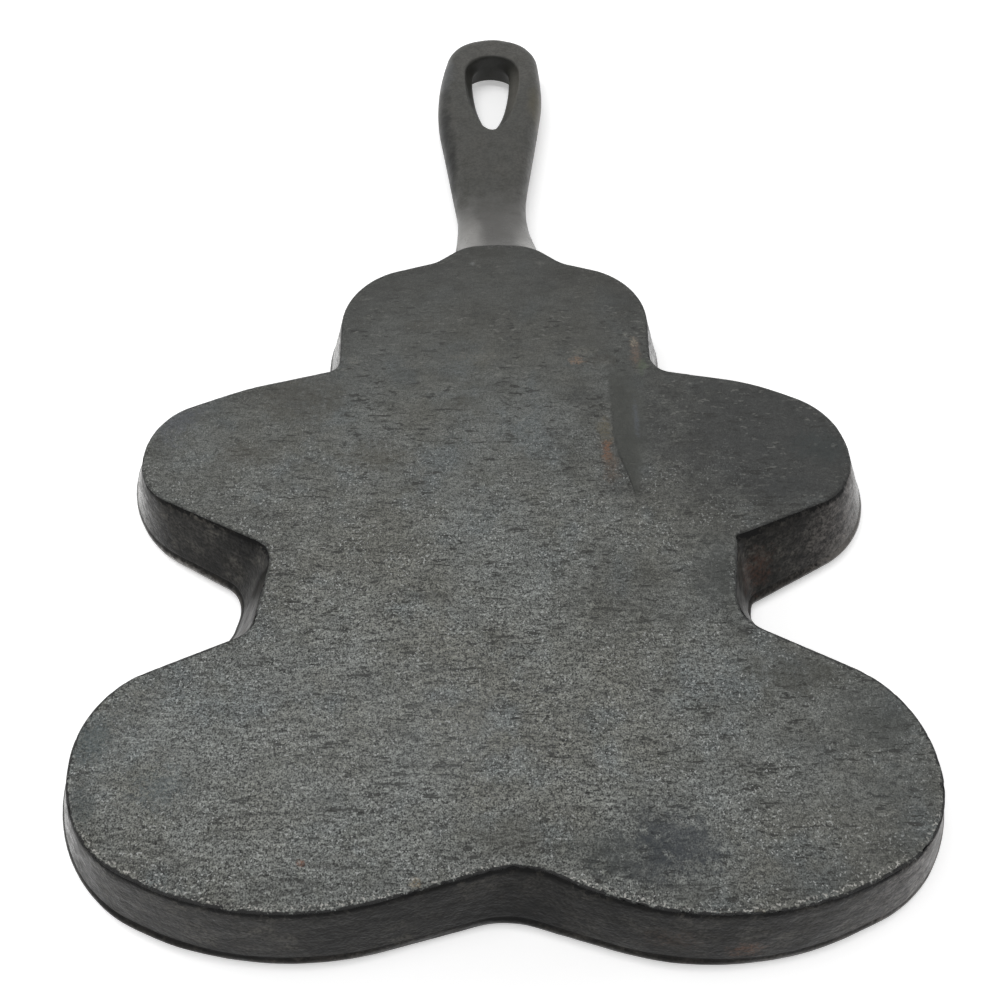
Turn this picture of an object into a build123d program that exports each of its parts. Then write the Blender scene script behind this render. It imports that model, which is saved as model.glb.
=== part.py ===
from build123d import *
import os
from math import cos, hypot, radians, sqrt, tan

# Mini cast iron skillet in the outline of a gingerbread man, lying face down on its rim.
# Millimetres. +Z points up out of the flat back, +Y along the handle, and the cavity opens downwards.
# The real skillet is one grey-iron casting. Its floor, its wall and its handle are separate solids
# here, which meet face to face where one region of the casting turns into the next.
# The plan is laid out with x = 0 on the axis of symmetry and y = 0 close to the toes of the back face.

# Heights and thicknesses
pan_height = 14.8
floor_thickness = 4.0
rim_width = 4.8
outer_draft_deg = 20.5
cavity_draft_deg = 18.0
rim_outer_round = 1.5
rim_inner_round = 0.8
cavity_floor_round = 3.5

# Corners of the back face before rounding, from the crotch round one side to the crest of the head
crotch_y = 7.6
toe_x = 34.5
toe_y = -4.3
leg_x = 65.3
leg_low_y = 11.1
leg_high_y = 32.3
waist_x = 39.1
hip_y = 44.6
armpit_y = 60.2
arm_low_x = 63.6
arm_low_y = 70.9
arm_high_x = 61.9
arm_high_y = 86.6
shoulder_x = 46.8
shoulder_y = 93.4
jaw_x = 28.8
jaw_y = 97.3
temple_x = 30.0
temple_y = 117.1
crest_y = 131.7

# Rounding of those corners in the back face
crotch_round = 17.0
toe_round = 57.0
leg_low_round = 17.0
leg_high_round = 18.0
hip_round = 6.0
armpit_round = 3.0
arm_low_round = 11.0
arm_high_round = 13.5
shoulder_round = 40.0
jaw_round = 3.5
temple_round = 12.5
crest_round = 17.5

# Rounding of the re-entrant corners where the outer wall meets the rim, wider than the back's
# corners less the draft, because the pattern flares there
crotch_rim_round = 18.0
hip_rim_round = 5.9
armpit_rim_round = 5.4
jaw_rim_round = 2.2

# Handle in plan, before rounding, at the height of its widest section. Its root and neck are placed
# from the crest of the head, and its swell, its end and its hole from the tip.
handle_length = 76.2
root_x = 14.5
root_inset = 8.7
flare_x = 10.1
flare_inset = 3.0
neck_x = 7.0
neck_reach = 13.6
swell_x = 13.1
swell_to_tip = 22.3
tip_shoulder_x = 9.7
tip_shoulder_to_tip = 2.8
root_round = 4.0
flare_round = 6.0
neck_round = 33.0
swell_round = 70.0
tip_shoulder_round = 10.0
tip_round = 11.0

# Handle in side view
handle_lift = 1.6
handle_thickness = 7.8
fairing_length = 28.0
fairing_below_back = 1.6
handle_top_round = 2.8
handle_bottom_round = 2.2

# Hanging hole: a teardrop drafted both ways from the parting plane halfway up the handle
hole_to_tip = 16.8
hole_point_to_round = 17.2
hole_round_radius = 4.65
hole_point_radius = 1.9
hole_upper_flare = 2.7
hole_lower_flare = 3.8
hole_point_flare = 0.9

# Places and heights that follow from the sizes above
root_y = crest_y - root_inset
tip_y = crest_y + handle_length
hole_round_y = tip_y - hole_to_tip
hole_point_y = hole_round_y - hole_point_to_round
handle_top = handle_lift + handle_thickness
outer_spread = pan_height * tan(radians(outer_draft_deg))
cavity_depth = pan_height - floor_thickness

# Shortest straight left between two rounded corners, and smallest radius that rounds one
least_straight = 0.1
least_round = 0.5


class Corner:
    """A corner of a closed outline, with the radius that rounds it, and the one that it has at the rim."""

    def __init__(self, x, y, radius, rim_radius=None):
        self.x = x
        self.y = y
        self.radius = radius
        self.rim_radius = rim_radius

    def mirrored(self):
        return Corner(-self.x, self.y, self.radius, self.rim_radius)


def unit_normal(start, end):
    """Outward normal of one side of an anticlockwise outline."""
    length = hypot(end.x - start.x, end.y - start.y)
    return (end.y - start.y) / length, (start.x - end.x) / length


def moved_out(corners, distance):
    """Move every side of an anticlockwise outline out by a distance, or in by a negative one."""
    result = []
    for index, corner in enumerate(corners):
        before = corners[index - 1]
        after = corners[(index + 1) % len(corners)]
        in_x, in_y = unit_normal(before, corner)
        out_x, out_y = unit_normal(corner, after)
        share = distance / (1 + in_x * out_x + in_y * out_y)
        is_reentrant = in_x * out_y - in_y * out_x < 0
        if not is_reentrant:
            radius = corner.radius + distance
        elif distance > 0:
            radius = corner.rim_radius
        else:
            radius = corner.radius - distance
        x = corner.x + share * (in_x + out_x)
        y = corner.y + share * (in_y + out_y)
        result.append(Corner(x, y, max(radius, least_round)))
    return result


def rounded_outline(corners, height):
    """Face inside straights and tangent arcs. A radius too large for its two sides is cut to fit them."""
    points = [Vector(c.x, c.y, height) for c in corners]
    count = len(points)
    sides = [points[(i + 1) % count] - points[i] for i in range(count)]
    half_turns = [radians(sides[i - 1].get_angle(sides[i])) / 2 for i in range(count)]
    setbacks = [corner.radius * tan(half) for corner, half in zip(corners, half_turns)]
    fitted = []
    for i in range(count):
        before = (sides[i - 1].length - least_straight) / (setbacks[i - 1] + setbacks[i])
        after = (sides[i].length - least_straight) / (setbacks[i] + setbacks[(i + 1) % count])
        fitted.append(setbacks[i] * min(1, before, after))
    arcs = []
    for i in range(count):
        back_along = -sides[i - 1].normalized()
        on_along = sides[i].normalized()
        radius = fitted[i] / tan(half_turns[i])
        depth = radius / cos(half_turns[i]) - radius
        middle = points[i] + (back_along + on_along).normalized() * depth
        arcs.append((points[i] + back_along * fitted[i], middle, points[i] + on_along * fitted[i]))
    edges = []
    for i in range(count):
        edges.append(Edge.make_three_point_arc(*arcs[i]))
        edges.append(Edge.make_line(arcs[i][2], arcs[(i + 1) % count][0]))
    return Face(Wire(edges))


def back_corners():
    """Corners of the back face, anticlockwise seen from above."""
    crotch = Corner(0, crotch_y, crotch_round, crotch_rim_round)
    crest = Corner(0, crest_y, crest_round)
    side = [
        Corner(toe_x, toe_y, toe_round),
        Corner(leg_x, leg_low_y, leg_low_round),
        Corner(leg_x, leg_high_y, leg_high_round),
        Corner(waist_x, hip_y, hip_round, hip_rim_round),
        Corner(waist_x, armpit_y, armpit_round, armpit_rim_round),
        Corner(arm_low_x, arm_low_y, arm_low_round),
        Corner(arm_high_x, arm_high_y, arm_high_round),
        Corner(shoulder_x, shoulder_y, shoulder_round),
        Corner(jaw_x, jaw_y, jaw_round, jaw_rim_round),
        Corner(temple_x, temple_y, temple_round),
    ]
    return [crotch] + side + [crest] + [corner.mirrored() for corner in reversed(side)]


def make_outer_body():
    """The pan without its cavity: the drafted outer wall from the back face down to the rounded rim."""
    low = rounded_outline(moved_out(back_corners(), outer_spread), 0)
    high = rounded_outline(back_corners(), pan_height)
    body = loft([low, high], ruled=True)
    return fillet(body.faces().sort_by(Axis.Z)[0].edges(), rim_outer_round)


def make_cavity():
    """The space inside the wall, drafted like the outside and rounded where it meets the floor."""
    mouth_inset = rim_width - outer_spread
    floor_inset = mouth_inset + cavity_depth * tan(radians(cavity_draft_deg))
    low = rounded_outline(moved_out(back_corners(), -mouth_inset), 0)
    high = rounded_outline(moved_out(back_corners(), -floor_inset), cavity_depth)
    space = loft([low, high], ruled=True)
    return fillet(space.faces().sort_by(Axis.Z)[-1].edges(), cavity_floor_round)


def make_pan(outer_body):
    """Floor and wall of the pan in one, with the inner edge of the rim rounded."""
    pan = outer_body - make_cavity()
    rim_land = pan.faces().sort_by(Axis.Z)[0]
    return fillet(rim_land.inner_wires()[0].edges(), rim_inner_round)


def teardrop(round_radius, point_radius, height):
    """Teardrop outline: two circles on the handle's axis joined by their outer tangents."""
    lean = (round_radius - point_radius) / (hole_round_y - hole_point_y)
    across = sqrt(1 - lean ** 2)
    round_side = Vector(round_radius * across, hole_round_y - round_radius * lean, height)
    point_side = Vector(point_radius * across, hole_point_y - point_radius * lean, height)
    round_other = Vector(-round_side.X, round_side.Y, height)
    point_other = Vector(-point_side.X, point_side.Y, height)
    round_end = Vector(0, hole_round_y + round_radius, height)
    point_end = Vector(0, hole_point_y - point_radius, height)
    edges = [
        Edge.make_three_point_arc(round_side, round_end, round_other),
        Edge.make_line(round_other, point_other),
        Edge.make_three_point_arc(point_other, point_end, point_side),
        Edge.make_line(point_side, round_side),
    ]
    return Face(Wire(edges))


def make_hanging_hole():
    """The hole narrows from both faces of the handle to its parting plane."""
    point_radius = hole_point_radius + hole_point_flare
    throat = teardrop(hole_round_radius, hole_point_radius, handle_lift + handle_thickness / 2)
    upper_mouth = teardrop(hole_round_radius + hole_upper_flare, point_radius, handle_top)
    lower_mouth = teardrop(hole_round_radius + hole_lower_flare, point_radius, handle_lift)
    return loft([throat, upper_mouth], ruled=True) + loft([lower_mouth, throat], ruled=True)


def make_handle_plan():
    """The handle seen from above. Its root runs on inside the pan."""
    side = [
        Corner(root_x, root_y, root_round),
        Corner(flare_x, crest_y - flare_inset, flare_round),
        Corner(neck_x, crest_y + neck_reach, neck_round),
        Corner(swell_x, tip_y - swell_to_tip, swell_round),
        Corner(tip_shoulder_x, tip_y - tip_shoulder_to_tip, tip_shoulder_round),
    ]
    tip = Corner(0, tip_y, tip_round)
    return rounded_outline(side + [tip] + [corner.mirrored() for corner in reversed(side)], 0)


def make_handle_side_view(x):
    """The handle seen from its side: a flat bar whose upper face curves up towards the wall of the head."""
    end_y = tip_y + handle_thickness
    low_root = Vector(x, root_y, handle_lift)
    high_root = Vector(x, root_y, pan_height - fairing_below_back)
    fairing_end = Vector(x, root_y + fairing_length, handle_top)
    high_end = Vector(x, end_y, handle_top)
    low_end = Vector(x, end_y, handle_lift)
    edges = [
        Edge.make_line(low_end, low_root),
        Edge.make_line(low_root, high_root),
        Edge.make_tangent_arc(fairing_end, Vector(0, -1, 0), high_root),
        Edge.make_line(fairing_end, high_end),
        Edge.make_line(high_end, low_end),
    ]
    return Face(Wire(edges))


def make_handle(outer_body):
    """Flat handle with rounded edges, swollen round its hanging hole and cut to the wall of the head."""
    plan = extrude(make_handle_plan(), pan_height, dir=(0, 0, 1))
    side_view = extrude(make_handle_side_view(-root_x), 2 * root_x, dir=(1, 0, 0))
    bar = plan & side_view
    free_edges = [e for e in bar.edges() if e.center().Y > root_y + least_straight]
    crosswise = [e for e in free_edges if abs(e.center().X) < least_straight and e.center().Y < hole_point_y]
    upper = [e for e in free_edges if e.center().Z > handle_top - least_straight and e not in crosswise]
    bar = fillet(upper, handle_top_round)
    free_edges = [e for e in bar.edges() if e.center().Y > root_y + least_straight]
    lower = [e for e in free_edges if e.center().Z < handle_lift + least_straight]
    bar = fillet(lower, handle_bottom_round)
    return bar - make_hanging_hole() - outer_body


def main():
    outer_body = make_outer_body()
    pan = make_pan(outer_body)
    floor_underside = Plane.XY.offset(cavity_depth - cavity_floor_round)
    pieces = {
        "pan_floor": split(pan, floor_underside, keep=Keep.TOP).solid(),
        "pan_wall": split(pan, floor_underside, keep=Keep.BOTTOM).solid(),
        "handle": make_handle(outer_body).solid(),
    }
    box = Compound(list(pieces.values())).bounding_box()
    to_origin = Location((-box.center().X, -box.center().Y, -box.min.Z))
    os.makedirs("parts", exist_ok=True)
    for name, piece in pieces.items():
        placed = piece.moved(to_origin)
        placed.label = name
        export_step(placed, f"parts/{name}.step")
    print(f"origin moved by {-box.center().Y:.3f} mm in y, overall {box.size}")


main()
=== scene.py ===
from math import ceil, cos, pi, radians, sin, sqrt, tan

import bpy
import numpy as np
from mathutils import Matrix, Vector, geometry, noise


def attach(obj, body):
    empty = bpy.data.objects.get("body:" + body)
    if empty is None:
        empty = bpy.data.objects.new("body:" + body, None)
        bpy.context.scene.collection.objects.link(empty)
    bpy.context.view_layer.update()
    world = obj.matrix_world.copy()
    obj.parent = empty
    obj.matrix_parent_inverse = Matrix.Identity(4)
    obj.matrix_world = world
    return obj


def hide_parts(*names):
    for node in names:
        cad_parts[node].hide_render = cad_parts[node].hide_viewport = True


# Mini cast iron skillet in the outline of a gingerbread man, face down on its rim with its back up.
# Outlines and heights are in millimetres, with x = 0 on the axis and y = 0 near the toes of the back,
# as in the CAD model. LAYOUT_TO_FRAME moves them to the frame, and MM turns them into metres.
MM = 0.001
LAYOUT_TO_FRAME = -101.48
SEED_OFFSET = 37.0
OCTAVES = 2

# Heights of the casting
BACK_Z = 14.8
CAVITY_DEPTH = 10.8
SPLIT_Z = 7.3
WALL_FOOT_Z = 2.4

# Corners before rounding, as x, y and radius, from the toe past leg, arm and temple to the crest
BACK_RIGHT = [
    (32.9, -6, 57), (66.2, 11.3, 15.4), (64.6, 32.1, 19.6), (37.9, 45.7, 6.7), (40.2, 61.2, 1.2),
    (63.4, 70.6, 11.6), (60.9, 87.1, 14.3), (47, 93.8, 40), (28.3, 97.2, 4.2), (29.1, 119.6, 14),
    (12.6, 124.6, 8), (6.6, 129.4, 10),
]
BACK_LEFT = [
    (-36, -2.6, 57), (-64.3, 10.9, 18.6), (-65.5, 32.5, 16.5), (-40.2, 43.5, 4.1), (-38.2, 59.1, 4.5),
    (-63.7, 71.3, 10.9), (-62.8, 86, 13.1), (-46.7, 92.9, 40), (-29.9, 97.4, 2.6), (-30.8, 119.2, 14.5),
    (-12.4, 124.9, 8), (-6.8, 129.3, 9),
]
BACK_CROTCH = (3.2, 7.6, 15.8)
BACK_CREST = (-0.3, 129.8, 40)
FOOT_RIGHT = [
    (34.7, -7.6, 56), (70.35, 7.2, 22), (69.7, 36.8, 19.7), (43.1, 49.3, 6.6), (44.1, 54.4, 4.9),
    (69.1, 68, 17.5), (65.9, 90.2, 18.6), (48.5, 98.3, 44.7), (32.1, 101.2, 2.2), (32.9, 122.6, 19),
    (14.6, 128.6, 5), (8, 133.6, 14),
]
FOOT_LEFT = [
    (-36.6, -6.9, 61.9), (-69.1, 7.6, 24.9), (-70.2, 35.9, 19.2), (-46.6, 46.7, 5.9), (-44.6, 56, 6.4),
    (-68.2, 69, 21), (-68.5, 90.2, 12.8), (-48.8, 98.4, 44.8), (-34, 101, 2.2), (-34.4, 122.4, 19.5),
    (-14.6, 128.8, 5), (-8.4, 133.6, 14),
]
FOOT_CROTCH = (0.3, 2.3, 18.2)
FOOT_CREST = (-0.4, 134, 40)

# Profile of the outer wall: how far the ring stands out of the straight draft, by height. The straight
# part starts STRAIGHT_DROP below the back and ends LIP_CLEAR above the lip at the parting line.
EDGE_ROUND = 0.4
EDGE_STEPS = 4
UNDERCUT = [(0.55, -0.34), (0.8, -0.36), (1.1, -0.16), (1.45, -0.03)]
STRAIGHT_DROP = 2.4
WALL_STEP = 0.75
LIP_PROFILE = [(3.75, 0.0), (3.45, -0.05), (3.25, -0.17), (3.05, 0.0), (2.8, 0.16), (2.3, 0.2), (1.8, 0.17)]
LIP_CLEAR = 0.4
LIP_BOTTOM = 0.14
RIM_ROUND = 1.4
RIM_STEPS = 5
LAND_STEPS = 4
MOUTH_ROUND = 0.8
MOUTH_STEPS = 4

# How far the step at the parting line stands out: its mean, its waves and their size, and its limits
LIP_WAVES = (0.75, 0.9, 22.0)
LIP_LIMITS = (0.15, 1.6)
# Where it stands out most, the left foot and the middle of the right one: centre, half sizes and gain
LIP_MARKS = [((-47.0, 1.0), (14.0, 10.0), 0.7), ((24.0, -3.0), (9.0, 10.0), 0.5)]

# Cavity, measured from the outline of the back face
MOUTH_OUTSET = 0.73
CAVITY_DRAFT = radians(18)
CAVITY_STEPS = 7
FLOOR_ROUND = 3.5
FLOOR_STEPS = 8

# Unevenness of the cast surfaces: depth, mean level, size of the bumps and shift of the noise. The flat
# back has less of it, by the share BACK_SMOOTHER.
PAN_UNEVEN = [(0.10, 0.6, 26.0, 0.0), (0.06, 0.6, 5.0, 11.0), (0.035, 0.5, 1.6, 23.0)]
HANDLE_UNEVEN = [(0.10, 0.5, 14.0, 5.0), (0.03, 0.5, 3.0, 17.0)]
BACK_SMOOTHER = 0.35
# Nicks at the edge of the back: depth, reach, size and shift of the noise, and its threshold
NICK_DEPTH = 0.28
NICK_REACH = 0.9
NICK_NOISE = (1.5, 41.0)
NICK_LEVEL = 0.18
# Value of edge_mm, the distance inward from the edge of the back, where it plays no part
FAR_FROM_EDGE = -30.0

# Worn groove under the right shoulder: its tip, the y where it starts, widens and ends, least and added
# width, drift to the right, and depth
GROOVE_TIP = (23.6, 67.6)
GROOVE_STARTS = (67.5, 74.0)
GROOVE_WIDENS = (67.0, 84.0)
GROOVE_ENDS = (96.0, 103.0)
GROOVE_WIDTHS = (1.2, 3.2)
GROOVE_DRIFT = 0.035
GROOVE_DEPTH = 0.42
# Its shade: half widths at the tip and past the taper, and where it fades at its two ends
GROOVE_HALVES = (0.3, 3.2)
GROOVE_TAPER = 15.0
GROOVE_TIP_FADE = 3.0
GROOVE_SHADE_END = (103.5, 89.5)

# Handle: half outlines before rounding, from its root to its tip
HANDLE_RIGHT = [
    (9.2, 126.8, 0.5), (5.85, 148.2, 44), (11.15, 186.2, 60), (9.8, 204.5, 9.6),
]
HANDLE_LEFT = [
    (-9.2, 126.8, 0.5), (-8.7, 145, 20), (-15.1, 184.6, 72), (-11.1, 205.2, 9.6),
]
HANDLE_TIP = (-0.7, 207.9, 10.8)
HANDLE_ROOT = (-0.2, 132.3, 12)
HANDLE_BOTTOM_Z = 1.6
HANDLE_TOP_Z = 9.4
HANDLE_MID_Z = 5.4
FAIRING_END_Y = 151.0
FAIRING_RADIUS = 105.0
ROOT_SLOPE = 0.6
ROOT_CLEAR = 0.35
ROOT_ROOM = 0.9
ROOT_TURN = (0.8, 6.0)
ROOT_LEAN = 0.41
ROOT_LEAN_Y = 128.0
ROOT_LEAN_LENGTH = 7.0
TOP_ROLL_RIGHT = 2.7
TOP_ROLL_LEFT = 4.4
TOP_ROLL_LEFT_X = (-3.0, 6.0)
TOP_ROLL_LEFT_Y = (176.0, 192.0)
TOP_ROLL_ROOT = 4.6
TOP_ROLL_ROOT_Y = (136.0, 152.0)
BOTTOM_ROLL = 2.4
ROLL_STEPS = 7
SIDE_FLAT = 0.7
SIDE_INSET = 0.1

# Fillet that climbs from the sides of the handle up the wall of the head
FILLET_END_Y = 148.0
FILLET_Z = 5.9
FILLET_RADIUS = 24.0
FILLET_RUN = 16.5
FILLET_BLEND = 0.7
SHOULDER_HALF = 6.6
SHOULDER_SLOPE = 0.8

# Hanging hole at its upper mouth, its throat and its lower mouth: x of its axis, y of the centre and
# radius of its round end, y of its pointed end, and how pointed that end is
HOLE_UPPER = (-1.05, 192.9, 6.25, 172.4, 1.1)
HOLE_THROAT = (-1.45, 195.1, 4.4, 175.6, 1.25)
HOLE_LOWER = (-1.6, 192.9, 6.8, 174.8, 1.2)
HOLE_LIP = 0.7
HOLE_STEPS = (44, 44)
HOLE_LIP_STEPS = 4
HOLE_WALL_STEPS = 6
HOLE_LIT_RINGS = 2

# Mesh density
RING_SPACING = 0.55
BACK_SPACING = 0.7
CAVITY_SPACING = 1.3
HANDLE_SPACING = 0.6
LEAST_ARC_STEPS = 6
LEAST_STRAIGHT = 1.0
LEAST_RADIUS = 0.5
BLOCK = 2000

# Camera fitted to the photograph, in millimetres and degrees
CAMERA_PLACE = (-1.11, -129.49, 168.75)
CAMERA_PITCH = radians(58.0)
CAMERA_YAW = radians(0.62)
CAMERA_ROLL = radians(-0.23)
CAMERA_LENS = 37.8
CAMERA_SENSOR = 36.0


# Outlines

def quarter(steps):
    """Angles of a quarter turn, from 0 to a right angle."""
    return [pi / 2 * k / steps for k in range(steps + 1)]


def outline(right, left, first, last):
    """Anticlockwise corners: the first one, up the right side, the last one and down the left side."""
    return np.array([first] + right + [last] + left[::-1])


def corner_sizes(corners):
    """Directions in and out, signed turn, and the setback and radius that fit, of each corner."""
    points = corners[:, :2]
    sides = np.roll(points, -1, 0) - points
    lengths = np.linalg.norm(sides, axis=1)
    onward = sides / lengths[:, None]
    inward = np.roll(onward, 1, 0)
    cross = inward[:, 0] * onward[:, 1] - inward[:, 1] * onward[:, 0]
    turn = np.arctan2(cross, (inward * onward).sum(1))
    half_tan = np.tan(np.abs(turn) / 2)
    setback = corners[:, 2] * half_tan
    fit = (lengths - LEAST_STRAIGHT) / (setback + np.roll(setback, -1))
    setback = setback * np.minimum(1, np.minimum(fit, np.roll(fit, 1)))
    straight = lengths - setback - np.roll(setback, -1)
    return inward, onward, turn, setback, setback / half_tan, straight


def step_counts(outlines):
    """Steps for each arc and each straight, the same for all rings between the given outlines."""
    arcs = []
    straights = []
    for corners in outlines:
        _, _, turn, _, radius, straight = corner_sizes(corners)
        arcs.append(np.abs(turn) * radius)
        straights.append(straight)
    arc_steps = np.maximum(np.ceil(np.max(arcs, 0) / RING_SPACING), LEAST_ARC_STEPS).astype(int)
    straight_steps = np.maximum(np.ceil(np.max(straights, 0) / RING_SPACING), 1).astype(int)
    return arc_steps, straight_steps


def sampled(corners, counts):
    """Points along an outline with its corners rounded."""
    inward, onward, turn, setback, radius, straight = corner_sizes(corners)
    points = []
    for i, (x, y, _) in enumerate(corners):
        sign = 1.0 if turn[i] > 0 else -1.0
        start = np.array([x, y]) - inward[i] * setback[i]
        centre = start + sign * radius[i] * np.array([-inward[i][1], inward[i][0]])
        arm = start - centre
        for k in range(counts[0][i]):
            a = turn[i] * k / counts[0][i]
            points.append(centre + (arm[0] * cos(a) - arm[1] * sin(a), arm[0] * sin(a) + arm[1] * cos(a)))
        end = np.array([x, y]) + onward[i] * setback[i]
        for k in range(counts[1][i]):
            points.append(end + onward[i] * straight[i] * k / counts[1][i])
    return np.array(points)


def right_of(directions):
    """Directions turned a quarter to the right."""
    return np.stack([directions[:, 1], -directions[:, 0]], 1)


def ring_normals(ring):
    """Outward normals in plan of an anticlockwise ring of points."""
    along = np.roll(ring, -1, 0) - np.roll(ring, 1, 0)
    along /= np.linalg.norm(along, axis=1)[:, None]
    return right_of(along)


def moved_out(corners, distance):
    """Corners of the outline whose every side is moved out by a distance, or in by a negative one."""
    inward, onward, turn, _, _, _ = corner_sizes(corners)
    normal_in = right_of(inward)
    normal_out = right_of(onward)
    share = distance / (1 + (normal_in * normal_out).sum(1))
    points = corners[:, :2] + share[:, None] * (normal_in + normal_out)
    radius = np.maximum(corners[:, 2] + np.sign(turn) * distance, LEAST_RADIUS)
    return np.column_stack([points, radius])


def with_height(ring, z):
    return np.column_stack([ring, np.broadcast_to(z, len(ring))])


def inside(points, ring):
    """Which points lie inside a closed ring, by counting the sides that a ray crosses."""
    x, y = points[:, 0:1], points[:, 1:2]
    x0, y0 = ring[:, 0], ring[:, 1]
    x1, y1 = np.roll(x0, -1), np.roll(y0, -1)
    spans = (y0 > y) != (y1 > y)
    rise = np.where(y1 == y0, 1.0, y1 - y0)
    crossing = x0 + (y - y0) / rise * (x1 - x0)
    return (spans & (x < crossing)).sum(1) % 2 == 1


def within(points, outer, holes):
    """Which points lie inside a ring and outside its holes."""
    keep = inside(points, outer)
    for hole in holes:
        keep &= ~inside(points, hole)
    return keep


def distance_to(points, ring):
    """Distance of each point to the nearest point of a ring."""
    result = np.empty(len(points))
    for start in range(0, len(points), BLOCK):
        part = points[start:start + BLOCK]
        gap = part[:, None, :2] - ring[None, :, :2]
        result[start:start + BLOCK] = np.sqrt((gap ** 2).sum(2).min(1))
    return result


def filled(outer, holes, spacing):
    """Points and triangles that fill a ring round its holes. The rings' own points come first."""
    low = outer.min(0)
    high = outer.max(0)
    row_step = spacing * sqrt(3) / 2
    rows = []
    for k, y in enumerate(np.arange(low[1] + spacing, high[1], row_step)):
        x = np.arange(low[0] + spacing * (0.5 + 0.5 * (k % 2)), high[0], spacing)
        rows.append(np.column_stack([x, np.full(len(x), y)]))
    grid = np.concatenate(rows)
    rings = [outer] + holes
    grid = grid[within(grid, outer, holes) & (distance_to(grid, np.concatenate(rings)) > 0.6 * spacing)]
    edges = []
    start = 0
    for ring in rings:
        edges += [(start + k, start + (k + 1) % len(ring)) for k in range(len(ring))]
        start += len(ring)
    points = np.concatenate(rings + [grid])
    result = geometry.delaunay_2d_cdt([Vector(p) for p in points], edges, [], 1, 1e-6)
    origin = [sources[0] for sources in result[3]]
    triangles = np.array([[origin[v] for v in face] for face in result[2]])
    triangles = triangles[within(points[triangles].mean(1), outer, holes)]
    a, b, c = points[triangles[:, 0]], points[triangles[:, 1]], points[triangles[:, 2]]
    area = (b[:, 0] - a[:, 0]) * (c[:, 1] - a[:, 1]) - (b[:, 1] - a[:, 1]) * (c[:, 0] - a[:, 0])
    triangles[area < 0] = triangles[area < 0][:, ::-1]
    return points, triangles


# Noise fields

def field(points, size, shift=0.0):
    """Smooth noise from about -1 to 1 at each point, whose bumps are about that many millimetres wide."""
    offset = Vector((SEED_OFFSET + shift, shift, -shift))
    result = np.zeros(len(points))
    share = 1.0
    for octave in range(OCTAVES):
        scale = 2 ** octave / size
        result += share * np.array([noise.noise(Vector(p) * scale + offset) for p in points])
        share *= 0.5
    return result


def eased(value, low, high):
    """0 below low, 1 above high and smooth between them."""
    t = np.clip((value - low) / (high - low), 0, 1)
    return t * t * (3 - 2 * t)


def unevenness(points, layers):
    """How far each point sinks below the ideal surface."""
    return sum(depth * (level + 0.5 * field(points, size, shift)) for depth, level, size, shift in layers)


# Meshes

def strip(first, second, count, flip=False):
    """Quads between two rings of count vertices that start at the given numbers."""
    i = np.arange(count)
    j = (i + 1) % count
    quads = np.column_stack([first + i, second + i, second + j, first + j])
    return quads[:, ::-1] if flip else quads


def strips(start, count, rings, flip=False):
    """Strips between so many rings that follow each other."""
    return [strip(start + k * count, start + (k + 1) * count, count, flip) for k in range(rings - 1)]


def vertex_normals(points, faces):
    """Normals of the vertices, weighted by area, from arrays of quads or triangles."""
    normals = np.zeros_like(points)
    for group in faces:
        corners = points[group]
        sides = group.shape[1]
        normal = np.cross(corners[:, 2] - corners[:, 0], corners[:, 3 % sides] - corners[:, 1])
        for k in range(sides):
            np.add.at(normals, group[:, k], normal)
    return normals / np.maximum(np.linalg.norm(normals, axis=1), 1e-12)[:, None]


def placed_in_scene(name, data):
    thing = bpy.data.objects.new(name, data)
    bpy.context.scene.collection.objects.link(thing)
    return thing


def make_piece(name, points, coated, caps, normals, attributes):
    """Mesh object from points in layout millimetres: smooth faces for each material, and flat caps."""
    skin = [group for groups in coated.values() for group in groups]
    groups = skin + caps
    used = np.unique(np.concatenate([group.ravel() for group in groups]))
    number = np.full(len(points), -1)
    number[used] = np.arange(len(used))
    placed = (points[used] + (0, LAYOUT_TO_FRAME, 0)) * MM
    faces = [tuple(face) for group in groups for face in number[group]]
    mesh = bpy.data.meshes.new(name)
    mesh.from_pydata(placed.tolist(), [], faces)
    for key, values in attributes.items():
        layer = mesh.attributes.new(key, "FLOAT", "POINT")
        layer.data.foreach_set("value", values[used].astype(np.float32))
    mesh.polygons.foreach_set("use_smooth", [True] * len(faces))
    loop_normals = [normals[group.ravel()] for group in skin]
    for group in caps:
        corners = points[group]
        flat = np.cross(corners[:, 1] - corners[:, 0], corners[:, 2] - corners[:, 0])
        flat /= np.linalg.norm(flat, axis=1)[:, None]
        loop_normals.append(np.repeat(flat, group.shape[1], 0))
    mesh.normals_split_custom_set(np.concatenate(loop_normals).tolist())
    slots = []
    for index, (material, parts) in enumerate(coated.items()):
        mesh.materials.append(material)
        slots += [index] * sum(len(group) for group in parts)
    slots += [0] * sum(len(group) for group in caps)
    mesh.polygons.foreach_set("material_index", slots)
    return placed_in_scene(name, mesh)


# Pan

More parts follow.
